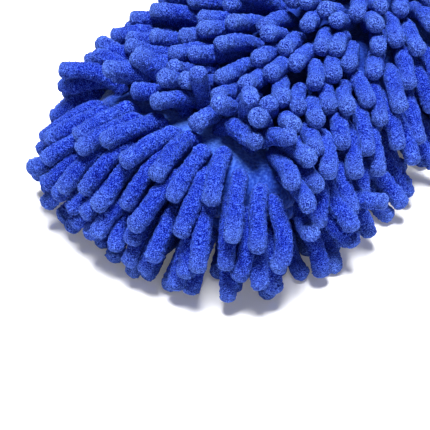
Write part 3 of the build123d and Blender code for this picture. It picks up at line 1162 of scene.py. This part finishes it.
def ring_stitches(name, node, x, spacing, length, thickness):
    """Stitches that run along the cuff, evenly round it."""
    low, high = box_mm(node)
    inset = thickness / 2
    half_height = (high[2] - low[2]) / 2 - inset
    half_width = (high[1] - low[1]) / 2 - inset
    count = int(2 * math.pi * half_height + 4 * (half_width - half_height)) // spacing
    ring, normal, _ = stadium(half_width, half_height, int(count))
    centre = np.stack([np.full(len(ring), x), ring[:, 0], ring[:, 1] + SEAM_Z], axis=-1)
    along = np.stack([0 * normal[:, 0], normal[:, 1], -normal[:, 0]], axis=-1)
    outward = np.stack([0 * normal[:, 0], normal[:, 0], normal[:, 1]], axis=-1)
    return stitch_piece(name, centre, along, outward, length, thickness)


def tape_material(name):
    """Dark blue binding tape."""
    return weave_material(name, (0.012, 0.030, 0.200), (0.030, 0.070, 0.340), 0.7)


def repeated(vector, count):
    """The same vector for each of count points."""
    return np.tile(vector, (count, 1))


def cuff(thread):
    """Ribbed cuff, its elastic, and the tape and threads that hold it."""
    piece = ring_piece("cuff_ribbed", "cuff_rib", cuff_profile(), 576, rib_swell)
    give(piece, knit_material(), "rib_knit", BODY, "cuff_rib")
    for name, node, thickness, material, slot in (
        ("elastic_band", "cuff_elastic", ELASTIC_THICKNESS, elastic_material(), "elastic"),
        ("join_tape", "cuff_join_tape", TAPE_THICKNESS, tape_material("binding_weave"), "binding"),
    ):
        low, high = box_mm(node)
        piece = ring_piece(name, node, band_profile(low[0], high[0], thickness), 260)
        give(piece, material, slot, BODY, node)
    for name, node in (("join_stitches", "cuff_join_thread"), ("hem_stitches", "cuff_hem_thread")):
        low, high = box_mm(node)
        piece = ring_stitches(name, node, (low[0] + high[0]) / 2, 4.0, 3.2, 0.6)
        give(piece, thread, "thread", BODY, node)


def seam(thread):
    """Bound seam allowance inside the body, with its stitches."""
    low, high = box_mm("perimeter_seam_tape")
    line, _, outward = seam_outline(TIP_X - high[0] + SEAM_TAPE_WIDTH / 2, 2.0)
    path = lifted(line, SEAM_Z)
    path[:, 2] += 0.12 * np.sin(np.arange(len(line)) * 0.9)
    section = strap_section(SEAM_TAPE_WIDTH, high[2] - low[2])
    piece = swept_piece("seam_binding", path, lifted(outward, 0), repeated(UP, len(line)), section)
    give(piece, tape_material("seam_weave"), "binding", BODY, "perimeter_seam_tape")
    low, high = box_mm("perimeter_seam_thread")
    line, heading, _ = seam_outline(TIP_X - high[0], 5.5)
    centre = lifted(line, (low[2] + high[2]) / 2)
    piece = stitch_piece("seam_stitches", centre, lifted(heading, 0), repeated(UP, len(line)), 3.4, 0.5)
    give(piece, thread, "thread", BODY, "perimeter_seam_thread")


def bar_tack(thread):
    """Row of upright stitches that holds the loop."""
    low, high = box_mm("loop_bar_tack")
    count = 13
    centre = repeated((low + high) / 2, count)
    centre[:, 0] = np.linspace(low[0] + 0.3, high[0] - 0.3, count)
    sideways = repeated([0.0, 1.0, 0.0], count)
    piece = stitch_piece("bar_tack", centre, repeated(UP, count), sideways, high[2] - low[2], 0.4)
    give(piece, thread, "thread", BODY, "loop_bar_tack")


def hanging_loop():
    """Webbing loop: two straight arms that run into a round bottom."""
    low, high = box_mm("hang_loop")
    middle = (low + high) / 2
    radius = (high[1] - low[1] - LOOP_THICKNESS) / 2
    drop = high[2] - low[2] - LOOP_THICKNESS / 2
    reach = drop - radius
    lean = math.asin(radius / reach)
    arm = np.linspace(0, math.sqrt(reach**2 - radius**2), 24)[:-1]
    turn = np.linspace(-lean, math.pi + lean, 44)
    right = np.stack([arm * math.sin(lean), -arm * math.cos(lean)], axis=-1)
    bottom = np.stack([radius * np.cos(turn), -reach - radius * np.sin(turn)], axis=-1)
    flat = np.concatenate([right, bottom, right[::-1] * [-1, 1]])
    path = np.stack([np.full(len(flat), middle[0]), middle[1] + flat[:, 0], high[2] + flat[:, 1]], -1)
    heading = unit(np.gradient(path, axis=0))
    side = repeated([1.0, 0.0, 0.0], len(path))
    section = strap_section(high[0] - low[0], LOOP_THICKNESS, 0.12)
    piece = swept_piece("hanging_loop", path, side, np.cross(heading, side), section)
    give(piece, weave_material("loop_webbing", (0.006, 0.016, 0.130), (0.020, 0.048, 0.270), 1.1),
         "webbing", "hang_loop", "hang_loop")


def label():
    """Blank woven label, hung by its top edge, with a slight curl."""
    low, high = box_mm("care_label")
    columns, rows = 37, 49
    u = np.linspace(-1, 1, columns)[None, :]
    v = np.linspace(0, 1, rows)[:, None]
    curl = 0.35 * v**2 * (u**2 - 0.4) + 0.25 * np.sin(v * 3.0) * v
    x = np.broadcast_to((low[0] + high[0]) / 2 + u * (high[0] - low[0]) / 2, (rows, columns))
    z = np.broadcast_to(high[2] - v * (high[2] - low[2]), (rows, columns))
    y = (low[1] + high[1]) / 2 - curl
    skins = [np.stack([x, y + side * LABEL_THICKNESS / 2, z], axis=-1).reshape(-1, 3) for side in (-1, 1)]
    index = np.arange(rows * columns).reshape(rows, columns)
    faces = np.stack([index[:-1, :-1], index[1:, :-1], index[1:, 1:], index[:-1, 1:]], -1).reshape(-1, 4)
    piece = make_mesh("label_flap", np.concatenate(skins), closed_layer(faces, rows * columns))
    grid = np.stack([x, z, 0 * x], axis=-1).reshape(-1, 3)
    add_vector(piece, "cloth", np.concatenate([grid, grid]))
    give(piece, weave_material("label_satin", (0.30, 0.30, 0.29), (0.52, 0.52, 0.50), 0.6),
         "label", "care_label", "care_label")


# Stage, light and camera
def stage():
    """White floor and surround, and an even sky."""
    bpy.ops.mesh.primitive_plane_add(size=FLOOR_SIZE, location=(0, 0, 0))
    floor = bpy.context.object
    floor.name = "floor"
    n = Nodes("floor_white")
    n.shader.inputs["Emission Strength"].default_value = FLOOR_GLOW
    floor.data.materials.append(n.surface((0.96, 0.96, 0.965), 0.9))
    backdrop()
    world = bpy.data.worlds.new("studio")
    bpy.context.scene.world = world
    world.use_nodes = True
    background = world.node_tree.nodes["Background"]
    background.inputs["Color"].default_value = (0.97, 0.98, 1.0, 1.0)
    background.inputs["Strength"].default_value = SKY_STRENGTH


def backdrop():
    """White surround that the floor fades into. Only the camera sees it."""
    fade_from, fade_to, wall_radius, wall_height = 0.55, 1.3, 3.4, 3.0
    over_floor = 0.4 * MM
    turn = np.linspace(0, 2 * math.pi, 96, endpoint=False)
    loops = [(fade_from, 0.0), (fade_to, 0.0), (wall_radius, 0.0), (wall_radius, wall_height)]
    vertices = [
        (radius / MM * math.cos(a), radius / MM * math.sin(a), (height + over_floor) / MM)
        for radius, height in loops for a in turn
    ]
    index = np.arange(len(vertices)).reshape(len(loops), len(turn))
    after = np.roll(index, -1, axis=1)
    quads = np.stack([index[:-1], index[1:], after[1:], after[:-1]], axis=-1).reshape(-1, 4)
    surround = make_mesh("backdrop", np.array(vertices), quads)
    n = Nodes("backdrop_white")
    white = n.add("ShaderNodeEmission", {"Color": (1.0, 1.0, 1.0)})
    clear = n.add("ShaderNodeBsdfTransparent")
    from_middle = n.add("ShaderNodeVectorMath", {0: n.position()}, operation="LENGTH")
    share = n.add("ShaderNodeMixShader", {
        "Fac": n.span(from_middle.outputs["Value"], fade_from, fade_to),
        1: clear.outputs["BSDF"],
        2: white.outputs["Emission"],
    })
    n.feed(n.tree.nodes["Material Output"].inputs["Surface"], share.outputs["Shader"])
    surround.data.materials.append(n.material)
    for way in ("diffuse", "glossy", "transmission", "shadow", "volume_scatter"):
        setattr(surround, "visible_" + way, False)


def look_along(thing, place, direction):
    """Puts a light or a camera at a place, pointing along a direction."""
    bpy.context.scene.collection.objects.link(thing)
    thing.location = place
    thing.rotation_mode = "QUATERNION"
    thing.rotation_quaternion = direction.to_track_quat("-Z", "Y")


def area_light(name, place, aim, size, power):
    """Round area light at a place, aimed at a point."""
    data = bpy.data.lights.new(name, "AREA")
    data.shape = "DISK"
    data.size = size
    data.energy = power
    look_along(bpy.data.objects.new(name, data), place, Vector(aim) - Vector(place))


def camera():
    """Camera that looks down on the fingertip end from one side."""
    level = math.cos(VIEW_ELEVATION)
    back = Vector((
        math.sin(VIEW_AZIMUTH) * level,
        -math.cos(VIEW_AZIMUTH) * level,
        math.sin(VIEW_ELEVATION),
    ))
    data = bpy.data.cameras.new("camera")
    data.sensor_width = 36.0
    data.lens = data.sensor_width * VIEW_DISTANCE / VIEW_WIDTH
    data.clip_start = 0.01
    data.clip_end = 20.0
    cam = bpy.data.objects.new("camera", data)
    look_along(cam, VIEW_TARGET + back * VIEW_DISTANCE, -back)
    bpy.context.scene.camera = cam


def lights():
    """Large soft key from above and a weak fill from beyond the fingertip end."""
    area_light("key", place=(0.02, -0.14, 3.2), aim=(0.03, 0, 0), size=1.45, power=296.0)
    area_light("fill", place=(2.6, 2.3, 1.8), aim=(0, 0, 0.03), size=2.3, power=26.0)


chenille_rows()
layers()
sewing = thread_material()
cuff(sewing)
seam(sewing)
hanging_loop()
bar_tack(sewing)
label()
stage()
lights()
camera()
bpy.context.scene.view_settings.view_transform = "Standard"
